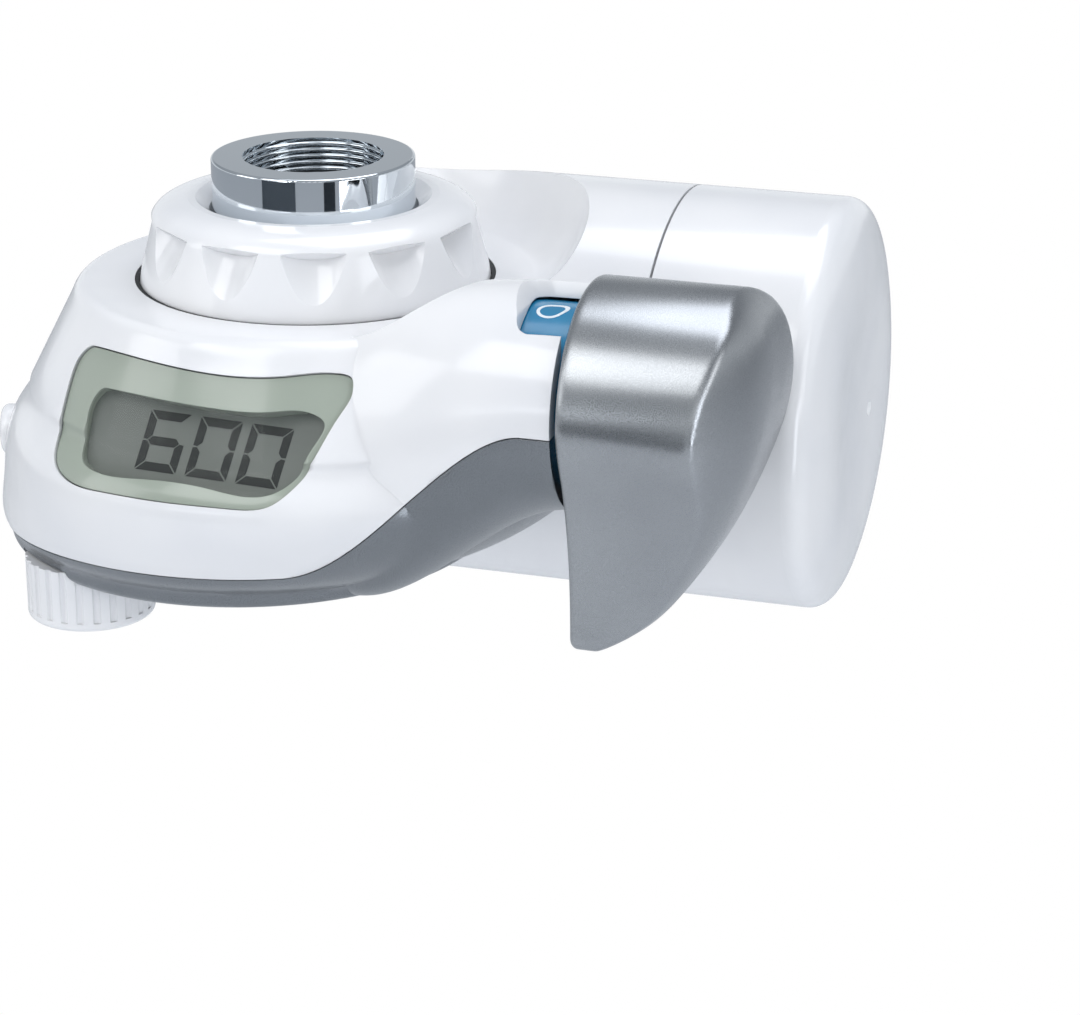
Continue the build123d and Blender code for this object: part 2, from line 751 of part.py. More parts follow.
def outlet_ring():
    """Ribbed screw ring that holds the spray plate."""
    low, top = depth_z(ring_low_depth), depth_z(ring_top_depth)
    inner = outlet_boss_radius + thread_gap
    lip_top = low + spray_thickness
    ring = rod_z(ring_radius, low, top) - rod_z(inner, lip_top, top + 1)
    ring = ring - rod_z(ring_radius - ring_wall - ring_lip + 0.5, low - 1, top + 1)
    base = ring.edges().filter_by(GeomType.CIRCLE).filter_by(
        lambda e: e.radius > ring_radius - 0.1 and e.center().Z < low + 0.1
    )
    ring = fillet(base, 0.8)
    step = 360 / ring_flutes
    x = ring_radius + ring_flute_radius * 0.35
    flutes = [
        Rot(0, 0, step * i) * rod_z(ring_flute_radius, low + 1.4, top + 1, x) for i in range(ring_flutes)
    ]
    return Pos(outlet_x, outlet_y, 0) * (ring - flutes)


def spray_plate():
    """Pierced plate under the outlet."""
    low = depth_z(ring_low_depth) + spray_thickness
    plate = rod_z(outlet_boss_radius + thread_gap - 0.05, low, low + spray_thickness)
    holes = [rod_z(spray_hole_radius, low - 1, low + 3)]
    for ring, count in ((1, 6), (2, 12)):
        for i in range(count):
            a = 2 * math.pi * i / count
            r = 2.2 * ring
            holes.append(rod_z(spray_hole_radius, low - 1, low + 3, r * math.cos(a), r * math.sin(a)))
    return Pos(outlet_x, outlet_y, 0) * (plate - holes)


def outlet_gasket():
    """Flat rubber ring between the outlet boss and the spray plate."""
    low = depth_z(ring_low_depth) + 2 * spray_thickness
    high = low + gasket_thickness
    ring = rod_z(outlet_boss_radius, low, high) - rod_z(outlet_bore, low - 1, high + 1)
    return Pos(outlet_x, outlet_y, 0) * ring


def display_frame():
    """Pale frame that follows the cone, with a collar down to the panel."""
    thick = frame_sink + frame_thickness
    rim = display_prism(frame_outline, -display_gap, -12.0, 8.0)
    skin = (nose(frame_sink, 0.0) & rim) - nose(thick, 0.5)
    skin = skin - display_prism(window_outline, lcd_margin + 0.2, -14.0, -lcd_sink)
    collar = display_prism(window_outline, lcd_margin, -lcd_sink, 8.0) & nose(lens_sink, 0.5)
    return skin + collar - display_prism(window_outline, 0, -14.0, 9.0)


def display_lens():
    """Clear pane in the frame's opening."""
    opening = display_prism(window_outline, -0.05, -12.0, 8.0)
    pane = nose(lens_sink, 0.5) - nose(lens_sink + lens_thickness, 0.8)
    return pane & opening


def lcd_panel():
    """Flat panel under the opening."""
    low = -lcd_sink - lcd_thickness
    return display_prism(window_outline, lcd_margin, low, -lcd_sink)


def at_display(u, v, w):
    """Place in the display's own frame: right, up and outward."""
    return Location(display_plane()) * Pos(u, v, w)


def board_top():
    """Height of the board's front over the display's plane."""
    return -lcd_sink - lcd_thickness - strip_height


def contact_strips():
    """Two rubber strips between the panel and the board."""
    w = board_top() + strip_height / 2
    strip = Box(30.0, 1.8, strip_height)
    return Part() + [at_display(0, v, w) * strip for v in (4.2, -6.0)]


def circuit_board():
    """Board behind the panel, with its chip."""
    w = board_top() - board_thickness / 2
    board = Box(38.0, 17.0, board_thickness)
    board = fillet(board.edges().filter_by(Axis.Z), 1.5)
    chip = Pos(-11.0, 0, -board_thickness / 2 - 0.7) * Box(7.0, 7.0, 1.4)
    return at_display(0, -0.5, w) * (board + chip)


def cell_place(w):
    """Place on the coin cell's axis."""
    return at_display(5.0, -0.5, w)


def coin_cell():
    """Flat cell on the board's back."""
    w = board_top() - board_thickness - cell_thickness / 2
    cell = Cylinder(cell_radius, cell_thickness)
    rims = cell.edges().filter_by(GeomType.CIRCLE)
    return cell_place(w) * chamfer(rims, 0.4)


def cell_clip():
    """Spring strap that holds the cell to the board."""
    base = board_top() - board_thickness
    low = base - cell_thickness - 0.4
    strap = Pos(0, 0, low + 0.2) * Box(2 * cell_radius + 2.4, 5.0, 0.4)
    legs = [
        Pos(side * (cell_radius + 0.8), 0, (low + base) / 2) * Box(0.8, 5.0, base - low)
        for side in (-1, 1)
    ]
    return cell_place(0) * (strap + legs)


def reset_button():
    """Round cap on the nose's flank, with a flange inside the shell."""
    body = bar_between(button_line(button_foot), button_line(button_crown), button_radius)
    crown = body.edges().filter_by(GeomType.CIRCLE).sort_by(lambda e: -e.center().Y)
    crown = sorted(crown, key=lambda e: (e.center() - Vector(*button_line(button_crown))).length)
    body = fillet(crown[:1], 1.2)
    low = button_line(button_foot)
    high = button_line(button_foot + button_flange_thickness)
    return body + bar_between(low, high, button_flange)


def reset_switch():
    """Tact switch behind the button."""
    out = button_foot - button_travel_gap
    x, y, z = button_line(out - switch_height / 2 - 0.6)
    case = Pos(x, y, z) * Rot(0, 0, button_deg) * Box(switch_height - 1.2, switch_side, switch_side)
    return case + bar_between(button_line(out - 1.3), button_line(out), 1.6)


def canister_radius():
    """Radius of the cartridge's skirt inside the sleeve."""
    return sleeve_radius - wall - bore_gap


def cartridge_shell():
    """White canister: the visible cap and the skirt that goes into the sleeve."""
    r = canister_radius()
    face = sleeve_end_x + cartridge_seam_gap
    inner = r - cartridge_wall
    rim_x = cartridge_end_x - cartridge_dome
    round_start = rim_x - cartridge_edge_round
    corner = Spline(
        (round_start, sleeve_radius), (rim_x, sleeve_radius - cartridge_edge_round),
        (cartridge_end_x, 0),
        tangents=[(1, 0), (0, -1)],
    )
    outline = Polyline(
        (cartridge_end_x, 0), (cartridge_end_x - 2.4, 0), (cartridge_end_x - 2.4, inner),
        (cartridge_left_x, inner), (cartridge_left_x, r), (face, r), (face, sleeve_radius),
        (round_start, sleeve_radius),
    )
    body = revolve(make_face(outline + corner), axis=Axis.X)
    body = Pos(0, sleeve_y, sleeve_z) * body
    dimple = Pos(cartridge_end_x + dimple_radius - dimple_sink, dimple_y, dimple_z)
    return body - dimple * Sphere(dimple_radius)


def cartridge_head():
    """Inner end of the cartridge with its two stepped spigots."""
    left = cartridge_left_x
    step = left - outer_spigot_length
    tip = step - inner_spigot_length
    r = canister_radius() - cartridge_wall
    body = rod_x(r, left, left + head_thickness, sleeve_y, sleeve_z)
    body = body + rod_x(outer_spigot_radius, step, left, sleeve_y, sleeve_z)
    body = body + rod_x(inner_spigot_radius, tip, step, sleeve_y, sleeve_z)
    body = body - rod_x(spigot_bore, tip - 1, left + head_thickness + 1, sleeve_y, sleeve_z)
    for x, centre, around in spigot_ring_seats():
        groove = tube_x(around + 1, centre - ring_section / 2 - ring_groove_gap, x - 0.95, x + 0.95,
                        sleeve_y, sleeve_z)
        body = body - groove
    ports = []
    for i in range(inlet_ports):
        a = 2 * math.pi * i / inlet_ports
        y = sleeve_y + inlet_port_circle * math.cos(a)
        z = sleeve_z + inlet_port_circle * math.sin(a)
        ports.append(rod_x(inlet_port_radius, step - 1, left + head_thickness + 1, y, z))
    return body - ports


def spigot_ring_seats():
    """Station, ring centre radius and spigot radius of each spigot ring."""
    step = cartridge_left_x - outer_spigot_length
    return [
        (step + 3.4, outer_spigot_radius + 0.02 - ring_section / 2, outer_spigot_radius),
        (step - 5.6, inner_spigot_radius + 0.02 - ring_section / 2, inner_spigot_radius),
    ]


def spigot_rings():
    """Rubber rings of the two spigots."""
    rings = [
        round_ring(centre, ring_section / 2, x, sleeve_y, sleeve_z)
        for x, centre, around in spigot_ring_seats()
    ]
    return Part() + rings


def block_ends():
    """Stations of the carbon block's two ends."""
    low = cartridge_left_x + head_thickness + block_gap + block_cap_thickness
    high = cartridge_end_x - 2.4 - 0.3 - block_cap_thickness
    return low, high


def carbon_block():
    """Moulded carbon tube."""
    low, high = block_ends()
    return tube_x(block_radius, block_bore, low, high, sleeve_y, sleeve_z)


def prefilter_fleece():
    """Fleece sleeve round the block."""
    low, high = block_ends()
    return tube_x(block_radius + fleece_thickness, block_radius, low, high, sleeve_y, sleeve_z)


def block_cap_inner():
    """End cap with the hub that joins the block to the spigot."""
    low, high = block_ends()
    r = block_radius + fleece_thickness
    left = low - block_cap_thickness
    cap = rod_x(r, left, low, sleeve_y, sleeve_z)
    cap = cap + rod_x(spigot_bore + 2.6, left - block_gap, left, sleeve_y, sleeve_z)
    return cap - rod_x(spigot_bore, left - block_gap - 1, low + 1, sleeve_y, sleeve_z)


def block_cap_outer():
    """Closed end cap of the block."""
    low, high = block_ends()
    r = block_radius + fleece_thickness
    return rod_x(r, high, high + block_cap_thickness, sleeve_y, sleeve_z)


white_shell = upper_housing()
save(white_shell, "upper_housing")
save(lower_trim(), "lower_trim")
save(housing_screws(), "housing_screws")
save(tap_adapter(), "tap_adapter")
save(adapter_washer(), "adapter_washer")
save(collar_seal(), "collar_seal")
save(inlet_screen(), "inlet_screen")
save(collar_nut(), "collar_nut")
save(manifold() - white_shell, "manifold")
save(valve_spool(), "valve_spool")
save(spool_rings(), "spool_rings")
save(valve_cap(), "valve_cap")
save(indicator_drum(), "indicator_drum")
save(selector_lever(), "selector_lever")
save(outlet_ring(), "outlet_ring")
save(spray_plate(), "spray_plate")
save(outlet_gasket(), "outlet_gasket")
save(display_frame(), "display_frame")
save(display_lens(), "display_lens")
save(lcd_panel(), "lcd_panel")
save(contact_strips(), "contact_strips")
save(circuit_board(), "circuit_board")
save(coin_cell(), "coin_cell")
save(cell_clip(), "cell_clip")
save(reset_button(), "reset_button")
save(reset_switch(), "reset_switch")
save(cartridge_shell(), "cartridge_shell")
save(cartridge_head(), "cartridge_head")
save(spigot_rings(), "spigot_rings")
save(carbon_block(), "carbon_block")
save(prefilter_fleece(), "prefilter_fleece")
save(block_cap_inner(), "block_cap_inner")
save(block_cap_outer(), "block_cap_outer")
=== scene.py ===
import json
import math
import bmesh
import bpy
from mathutils import Matrix, Vector
from mathutils.kdtree import KDTree

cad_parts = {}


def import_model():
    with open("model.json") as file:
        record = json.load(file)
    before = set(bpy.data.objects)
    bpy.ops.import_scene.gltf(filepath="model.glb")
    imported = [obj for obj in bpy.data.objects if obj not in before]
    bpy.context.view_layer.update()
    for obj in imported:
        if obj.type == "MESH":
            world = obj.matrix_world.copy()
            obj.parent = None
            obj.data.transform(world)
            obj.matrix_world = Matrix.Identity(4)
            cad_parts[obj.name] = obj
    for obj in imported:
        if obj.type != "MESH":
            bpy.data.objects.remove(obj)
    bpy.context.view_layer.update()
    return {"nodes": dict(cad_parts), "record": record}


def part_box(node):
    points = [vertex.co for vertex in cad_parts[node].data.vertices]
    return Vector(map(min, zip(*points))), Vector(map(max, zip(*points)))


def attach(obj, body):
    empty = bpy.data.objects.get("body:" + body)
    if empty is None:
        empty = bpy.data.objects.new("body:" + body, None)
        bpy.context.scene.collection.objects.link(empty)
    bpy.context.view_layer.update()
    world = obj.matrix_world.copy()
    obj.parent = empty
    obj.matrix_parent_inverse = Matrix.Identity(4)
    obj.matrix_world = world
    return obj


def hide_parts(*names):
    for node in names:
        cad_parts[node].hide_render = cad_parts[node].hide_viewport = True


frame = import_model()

# A water filter that hangs from its screwed adapter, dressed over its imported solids. Blender
# works in metres, in the solids' own frame: +Z is up along the adapter's axis and -Y is the side
# the display looks to. Sizes and places named here are in millimetres where nothing else is said.

MM = 0.001


def metres(*mm):
    """Millimetres to a vector in metres."""
    return Vector(mm) * MM


# Colours, as sRGB hex: a body tone and the shade that it drifts to
WHITE_ABS = "#EDEDEE"
WHITE_SHADE = "#E3E4E7"
SATIN_SILVER = "#AAADB0"
SATIN_SHADE = "#9C9FA3"
TRIM_GREY = "#8A8E92"
TRIM_SHADE = "#7B7F83"
CHROME_TINT = "#DDE3E8"
STEEL_TINT = "#B9BCBE"
FRAME_GREEN = "#A3AB9F"
FRAME_SHADE = "#9BA498"
PANEL_GREEN = "#8C918B"
# The panel's second tone is painted shade: the shade that the frame casts on the panel's upper edge
PANEL_PAINTED_SHADE = "#7B807B"
SEGMENT_GREY = "#2A2E2D"
SEGMENT_SHADE = "#232726"
DRUM_BLUE = "#2484B0"
DRUM_SHADE = "#2079A4"
PRINT_TONE = "#EEF4F8"
PRINT_SHADE = "#E4EAEE"
NATURAL_RESIN = "#D9DAD6"
RESIN_SHADE = "#CFD1CE"
SEAL_BLACK = "#1C1D1E"
SEAL_SHADE = "#26282A"
NYLON_BLACK = "#202122"
NYLON_SHADE = "#2A2B2D"
CARBON_BLACK = "#18191A"
CARBON_SHADE = "#2B2C2E"
FLEECE_WHITE = "#E4E3DD"
FLEECE_SHADE = "#D2D1CA"
BOARD_GREEN = "#27593A"
BOARD_SHADE = "#1F4A30"
LENS_TINT = "#3A403D"


def linear(hex_colour):
    """sRGB hex to linear RGBA."""
    parts = [int(hex_colour[i:i + 2], 16) / 255 for i in (1, 3, 5)]
    out = [c / 12.92 if c <= 0.04045 else ((c + 0.055) / 1.055) ** 2.4 for c in parts]
    return (*out, 1.0)


def add(tree, kind, settings=None, **inputs):
    """Add a node; an input given a socket is linked, any other is set.

    An input is named with _ for each space, or i0, i1 and so on for its number.
    """
    node = tree.nodes.new(kind)
    for key, value in (settings or {}).items():
        setattr(node, key, value)
    for key, value in inputs.items():
        numbered = key[0] == "i" and key[1:].isdigit()
        socket = node.inputs[int(key[1:]) if numbered else key.replace("_", " ")]
        if isinstance(value, bpy.types.NodeSocket):
            tree.links.new(value, socket)
        else:
            socket.default_value = value
    return node


def start_material(name):
    """Material with an empty node tree."""
    made = bpy.data.materials.new(name)
    made.use_nodes = True
    made.node_tree.nodes.clear()
    return made, made.node_tree


def per_mm(size):
    """Noise scale for a grain of this size in millimetres."""
    return 1.0 / (size * MM)


# Sizes and depths of what the finishes show, and their refraction
SINK_MM = 28.0
HAZE_MM = 6.0
PEEL_MM = 2.2
PEEL_DEPTH = 0.02
DRIFT_MM = 20.0
FILM_MM = 5.0
PANE_FILM_MM = 9.0
ABS_IOR = 1.52
ACRYLIC_IOR = 1.49

# Most values of a noise texture fall between these two
NOISE_LOW, NOISE_HIGH = 0.3, 0.7

# Real lacquer flakes and display specks are finer; these are the sizes that still show
FLAKE_MM = 0.12
FLAKE_DEPTH = 0.004
SPECK_MM = 0.3

# The drawing lines of steel lie across Z and are this many times longer than wide
LINE_STRETCH = 12.0
LINE_DEPTH = 0.01

# Radius that the finish gives an edge: what the mesh stores at its vertices, or this at least
SOFTNESS = "soft_radius"
EDGE_MM = 0.2
EDGE_SAMPLES = 6

# Heights of the display panel's lower and upper edge, between which its painted shade deepens
PANEL_FOOT_Z = -41.0
PANEL_TOP_Z = -28.5


def rounded_normal(tree):
    """Normal of the surface with its edges and stored creases rounded."""
    wanted = add(tree, "ShaderNodeAttribute", {"attribute_name": SOFTNESS})
    least = add(tree, "ShaderNodeMath", {"operation": "MAXIMUM"}, i0=wanted.outputs["Fac"],
                i1=EDGE_MM * MM)
    soft = add(tree, "ShaderNodeBevel", {"samples": EDGE_SAMPLES}, Radius=least.outputs["Value"])
    return soft.outputs["Normal"]


def moulded_gloss(name, body, shade, roughness, coat):
    """Gloss plastic from a polished mould, with the faintest sink and flow marks."""
    made, tree = start_material(name)
    place = add(tree, "ShaderNodeTexCoord").outputs["Object"]
    sink = add(tree, "ShaderNodeTexNoise", Vector=place, Scale=per_mm(SINK_MM), Detail=2.0)
    share = add(tree, "ShaderNodeMapRange", Value=sink.outputs["Fac"], From_Min=0.35, From_Max=0.7)
    tone = add(tree, "ShaderNodeMix", {"data_type": "RGBA"}, Factor=share.outputs["Result"],
               A=linear(body), B=linear(shade))
    haze = add(tree, "ShaderNodeTexNoise", Vector=place, Scale=per_mm(HAZE_MM), Detail=3.0)
    rough = add(tree, "ShaderNodeMapRange", Value=haze.outputs["Fac"], From_Min=0.3, From_Max=0.75,
                To_Min=roughness * 0.8, To_Max=roughness * 1.3)
    peel = add(tree, "ShaderNodeTexNoise", Vector=place, Scale=per_mm(PEEL_MM), Detail=1.0)
    bump = add(tree, "ShaderNodeBump", Strength=0.04, Distance=PEEL_DEPTH * MM,
               Height=peel.outputs["Fac"], Normal=rounded_normal(tree))
    shader = add(tree, "ShaderNodeBsdfPrincipled", Base_Color=tone.outputs["Result"],
                 Roughness=rough.outputs["Result"], Normal=bump.outputs["Normal"], IOR=ABS_IOR,
                 Coat_Weight=coat, Coat_Roughness=0.05)
    add(tree, "ShaderNodeOutputMaterial", Surface=shader.outputs["BSDF"])
    return made


def satin_lacquer(name, body, shade, roughness):
    """Metallic lacquer on a moulding: fine flakes and a soft, wide sheen."""
    made, tree = start_material(name)
    place = add(tree, "ShaderNodeTexCoord").outputs["Object"]
    flakes = add(tree, "ShaderNodeTexNoise", Vector=place, Scale=per_mm(FLAKE_MM), Detail=2.0)
    drift = add(tree, "ShaderNodeTexNoise", Vector=place, Scale=per_mm(DRIFT_MM), Detail=2.0)
    both = add(tree, "ShaderNodeMath", {"operation": "ADD"}, i0=flakes.outputs["Fac"],
               i1=drift.outputs["Fac"])
    share = add(tree, "ShaderNodeMapRange", Value=both.outputs["Value"], From_Min=0.75, From_Max=1.3)
    tone = add(tree, "ShaderNodeMix", {"data_type": "RGBA"}, Factor=share.outputs["Result"],
               A=linear(body), B=linear(shade))
    rough = add(tree, "ShaderNodeMapRange", Value=flakes.outputs["Fac"], From_Min=NOISE_LOW,
                From_Max=NOISE_HIGH, To_Min=roughness * 0.9, To_Max=roughness * 1.15)
    bump = add(tree, "ShaderNodeBump", Strength=0.03, Distance=FLAKE_DEPTH * MM,
               Height=flakes.outputs["Fac"], Normal=rounded_normal(tree))
    shader = add(tree, "ShaderNodeBsdfPrincipled", Base_Color=tone.outputs["Result"],
                 Roughness=rough.outputs["Result"], Normal=bump.outputs["Normal"], Metallic=0.92)
    add(tree, "ShaderNodeOutputMaterial", Surface=shader.outputs["BSDF"])
    return made


def polished_metal(name, tint, roughness, line_mm=0.0):
    """Plated or drawn metal; a line width gives it fine drawing lines across Z."""
    made, tree = start_material(name)
    place = add(tree, "ShaderNodeTexCoord").outputs["Object"]
    film = add(tree, "ShaderNodeTexNoise", Vector=place, Scale=per_mm(FILM_MM), Detail=2.0)
    rough = add(tree, "ShaderNodeMapRange", Value=film.outputs["Fac"], From_Min=NOISE_LOW,
                From_Max=NOISE_HIGH, To_Min=roughness * 0.7, To_Max=roughness * 1.4)
    shader = add(tree, "ShaderNodeBsdfPrincipled", Base_Color=linear(tint), Metallic=1.0,
                 Roughness=rough.outputs["Result"])
    add(tree, "ShaderNodeOutputMaterial", Surface=shader.outputs["BSDF"])
    if line_mm:
        drawn = add(tree, "ShaderNodeMapping", Vector=place, Scale=(1, 1, LINE_STRETCH))
        lines = add(tree, "ShaderNodeTexNoise", Vector=drawn.outputs["Vector"],
                    Scale=per_mm(line_mm * LINE_STRETCH), Detail=2.0)
        bump = add(tree, "ShaderNodeBump", Strength=0.1, Distance=LINE_DEPTH * MM,
                   Height=lines.outputs["Fac"])
        tree.links.new(bump.outputs["Normal"], shader.inputs["Normal"])
    return made


def matt_solid(name, body, shade, roughness, grain_mm, depth_mm):
    """Material with a fine grain and no gloss, of one tone and its shade."""
    made, tree = start_material(name)
    place = add(tree, "ShaderNodeTexCoord").outputs["Object"]
    grain = add(tree, "ShaderNodeTexNoise", Vector=place, Scale=per_mm(grain_mm), Detail=4.0)
    share = add(tree, "ShaderNodeMapRange", Value=grain.outputs["Fac"], From_Min=NOISE_LOW,
                From_Max=NOISE_HIGH)
    tone = add(tree, "ShaderNodeMix", {"data_type": "RGBA"}, Factor=share.outputs["Result"],
               A=linear(body), B=linear(shade))
    rough = add(tree, "ShaderNodeMapRange", Value=grain.outputs["Fac"], From_Min=NOISE_LOW,
                From_Max=NOISE_HIGH, To_Min=roughness * 0.85, To_Max=min(1.0, roughness * 1.1))
    bump = add(tree, "ShaderNodeBump", Strength=0.4, Distance=depth_mm * MM,
               Height=grain.outputs["Fac"])
    shader = add(tree, "ShaderNodeBsdfPrincipled", Base_Color=tone.outputs["Result"],
                 Roughness=rough.outputs["Result"], Normal=bump.outputs["Normal"])
    add(tree, "ShaderNodeOutputMaterial", Surface=shader.outputs["BSDF"])
    return made


def clear_pane(name):
    """Thin clear sheet: nearly all light goes through, with a faint shine."""
    made, tree = start_material(name)
    place = add(tree, "ShaderNodeTexCoord").outputs["Object"]
    film = add(tree, "ShaderNodeTexNoise", Vector=place, Scale=per_mm(PANE_FILM_MM), Detail=1.0)
    rough = add(tree, "ShaderNodeMapRange", Value=film.outputs["Fac"], From_Min=NOISE_LOW,
                From_Max=NOISE_HIGH, To_Min=0.03, To_Max=0.07)
    shader = add(tree, "ShaderNodeBsdfPrincipled", Base_Color=linear(LENS_TINT),
                 Roughness=rough.outputs["Result"], IOR=ACRYLIC_IOR, Alpha=0.09)
    add(tree, "ShaderNodeOutputMaterial", Surface=shader.outputs["BSDF"])
    return made


def lcd_film(name):
    """Display film that darkens a little from its lower to its upper edge: painted shade under the
    frame's upper edge.
    """
    made, tree = start_material(name)
    place = add(tree, "ShaderNodeTexCoord").outputs["Object"]
    parts = add(tree, "ShaderNodeSeparateXYZ", Vector=place)
    height = add(tree, "ShaderNodeMapRange", Value=parts.outputs["Z"], From_Min=PANEL_FOOT_Z * MM,
                 From_Max=PANEL_TOP_Z * MM)
    # Painted shade: the panel mixes towards its darker tone as it rises to its upper edge
    tone = add(tree, "ShaderNodeMix", {"data_type": "RGBA"}, Factor=height.outputs["Result"],
               A=linear(PANEL_GREEN), B=linear(PANEL_PAINTED_SHADE))
    speck = add(tree, "ShaderNodeTexNoise", Vector=place, Scale=per_mm(SPECK_MM), Detail=1.0)
    rough = add(tree, "ShaderNodeMapRange", Value=speck.outputs["Fac"], From_Min=NOISE_LOW,
                From_Max=NOISE_HIGH, To_Min=0.35, To_Max=0.5)
    shader = add(tree, "ShaderNodeBsdfPrincipled", Base_Color=tone.outputs["Result"],
                 Roughness=rough.outputs["Result"])
    add(tree, "ShaderNodeOutputMaterial", Surface=shader.outputs["BSDF"])
    return made


MATERIALS = {
    # ABS from a polished mould: bright, even highlights with soft edges
    "white_plastic": moulded_gloss("white gloss ABS", WHITE_ABS, WHITE_SHADE, roughness=0.16,
                                   coat=0.3),
    # Lacquer sprayed over a moulding: a quiet mid grey with a wide sheen and no mirror image
    "grey_trim": satin_lacquer("grey satin lacquer", TRIM_GREY, TRIM_SHADE, roughness=0.27),
    # The same lacquer in silver: broad light and dark bands that follow the lever's form
    "silver_lever": satin_lacquer("silver satin lacquer", SATIN_SILVER, SATIN_SHADE,
                                  roughness=0.27),
    # Drawn stainless steel: a grey shine broken by fine lines
    "steel": polished_metal("drawn stainless steel", STEEL_TINT, roughness=0.25, line_mm=0.3),
    # Chrome plated over a polished barrel: a mirror, with hard light and dark bands
    "chrome": polished_metal("bright chrome plate", CHROME_TINT, roughness=0.04),
    # Pressed nitrile rubber: near black, dull and slightly grainy
    "black_rubber": matt_solid("black nitrile rubber", SEAL_BLACK, SEAL_SHADE, roughness=0.7,
                               grain_mm=0.5, depth_mm=0.02),
    # Acetal moulded without pigment: milky and half dull
    "duct_plastic": matt_solid("natural acetal resin", NATURAL_RESIN, RESIN_SHADE, roughness=0.42,
                               grain_mm=1.5, depth_mm=0.01),
    # ABS coloured in the mass: a clear blue with a wider shine than the white's
    "blue_plastic": moulded_gloss("blue gloss ABS", DRUM_BLUE, DRUM_SHADE, roughness=0.22,
                                  coat=0.2),
    # Polycarbonate tinted in the mass: a pale green rim with a soft shine
    "pale_green_frame": moulded_gloss("pale green polycarbonate", FRAME_GREEN, FRAME_SHADE,
                                      roughness=0.2, coat=0.25),
    # Polished acrylic sheet: only its faint shine shows over the panel
    "clear_lens": clear_pane("clear acrylic pane"),
    # Reflective film behind glass: flat grey-green, with hardly any gloss of its own, and painted
    # shade towards its upper edge
    "lcd_glass": lcd_film("reflective display film"),
    # Resin board with glass fibre: dark green with a fine grain
    "green_board": matt_solid("glass fibre board", BOARD_GREEN, BOARD_SHADE, roughness=0.45,
                              grain_mm=0.8, depth_mm=0.02),
    # Nylon from a textured mould: dull black
    "black_plastic": matt_solid("black moulded nylon", NYLON_BLACK, NYLON_SHADE, roughness=0.55,
                                grain_mm=0.6, depth_mm=0.02),
    # Carbon granules pressed into a block: black, rough and without shine
    "carbon": matt_solid("pressed carbon granules", CARBON_BLACK, CARBON_SHADE, roughness=0.85,
                         grain_mm=0.9, depth_mm=0.15),
    # Needled fibres: off-white and soft, without shine
    "fleece": matt_solid("needled polypropylene fleece", FLEECE_WHITE, FLEECE_SHADE,
                         roughness=0.95, grain_mm=0.4, depth_mm=0.1),
}
# Liquid crystal segments that are switched on: flat and nearly black
SEGMENT_INK = matt_solid("dark display segment", SEGMENT_GREY, SEGMENT_SHADE, roughness=0.5,
                         grain_mm=0.3, depth_mm=0.002)
# Ink from a printing pad: an even, opaque white with a slight shine
PRINT_WHITE = matt_solid("white pad print", PRINT_TONE, PRINT_SHADE, roughness=0.35,
                         grain_mm=0.4, depth_mm=0.002)


def dress_solids():
    """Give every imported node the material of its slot."""
    for entry in frame["record"]["subparts"]:
        node = frame["nodes"][entry["node"]]
        node.data.materials.clear()
        node.data.materials.append(MATERIALS[entry["material_slot"]])


def mesh_of(bm, name):
    """Turn a bmesh into a mesh."""
    mesh = bpy.data.meshes.new(name)
    bm.to_mesh(mesh)
    bm.free()
    return mesh


def add_piece(mesh, name, material, body):
    """Make a mesh a piece that rides on a body."""
    mesh.name = name
    mesh.materials.clear()
    mesh.materials.append(material)
    piece = bpy.data.objects.new(name, mesh)
    bpy.context.scene.collection.objects.link(piece)
    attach(piece, body)
    return piece


def piece_from(bm, name, material, body):
    """Make a bmesh a piece, with its faces turned outwards."""
    bmesh.ops.recalc_face_normals(bm, faces=bm.faces[:])
    return add_piece(mesh_of(bm, name), name, material, body)


def turns(count):
    """Angles of a full turn in equal steps."""
    return [2 * math.pi * i / count for i in range(count)]


def wall(bm, low, high):
    """Faces between two rings of vertices."""
    for i in range(len(low)):
        j = (i + 1) % len(low)
        bm.faces.new((low[i], low[j], high[j], high[i]))


def ring_loft(outlines):
    """Closed mesh through outlines of equal length, from the lowest to the highest."""
    bm = bmesh.new()
    rings = [[bm.verts.new(metres(*point)) for point in outline] for outline in outlines]
    for low, high in zip(rings, rings[1:]):
        wall(bm, low, high)
    bm.faces.new(rings[0][::-1])
    bm.faces.new(rings[-1])
    bmesh.ops.recalc_face_normals(bm, faces=bm.faces[:])
    return mesh_of(bm, "loft")


def closed_band(outlines):
    """Bmesh of a band through outlines, the last of them joined to the first."""
    bm = bmesh.new()
    rings = [[bm.verts.new(metres(*point)) for point in outline] for outline in outlines]
    for first, second in zip(rings, rings[1:] + rings[:1]):
        wall(bm, first, second)
    return bm


def less(mesh, cutter):
    """Mesh less a cutter mesh."""
    uncut = bpy.data.objects.new("uncut", mesh)
    tool = bpy.data.objects.new("tool", cutter)
    for made in (uncut, tool):
        bpy.context.scene.collection.objects.link(made)
    step = uncut.modifiers.new("cut", "BOOLEAN")
    step.operation, step.solver, step.object = "DIFFERENCE", "EXACT", tool
    depsgraph = bpy.context.evaluated_depsgraph_get()
    result = bpy.data.meshes.new_from_object(uncut.evaluated_get(depsgraph))
    for made in (uncut, tool):
        bpy.data.objects.remove(made)
    return result


# The finish rounds creases between these angles at the lever's folds, at the neck's foot on the
# nose, and on the joint, the level where the nose's cone turns into its bowl
CREASE_DEG = (2.0, 50.0)
CREASE_SOFT = 3.5
CREASE_REACH = 5.0
LEVER_FROM_X = 52.0
LEVER_BEFORE_Y = -30.0
NECK_X = (5.0, 42.0)
NECK_BEFORE_Y = -6.0
NECK_BELOW_Z = -14.0
JOINT_Z = -35.0
JOINT_HALF_BAND = 0.3
JOINT_OUTSIDE_RADIUS = 38.0
JOINT_NEAR = 1.0
JOINT_SOFT = 1.0

# The rounding ends this far before an edge that stays sharp
SHARP_CLEARANCE = 0.3

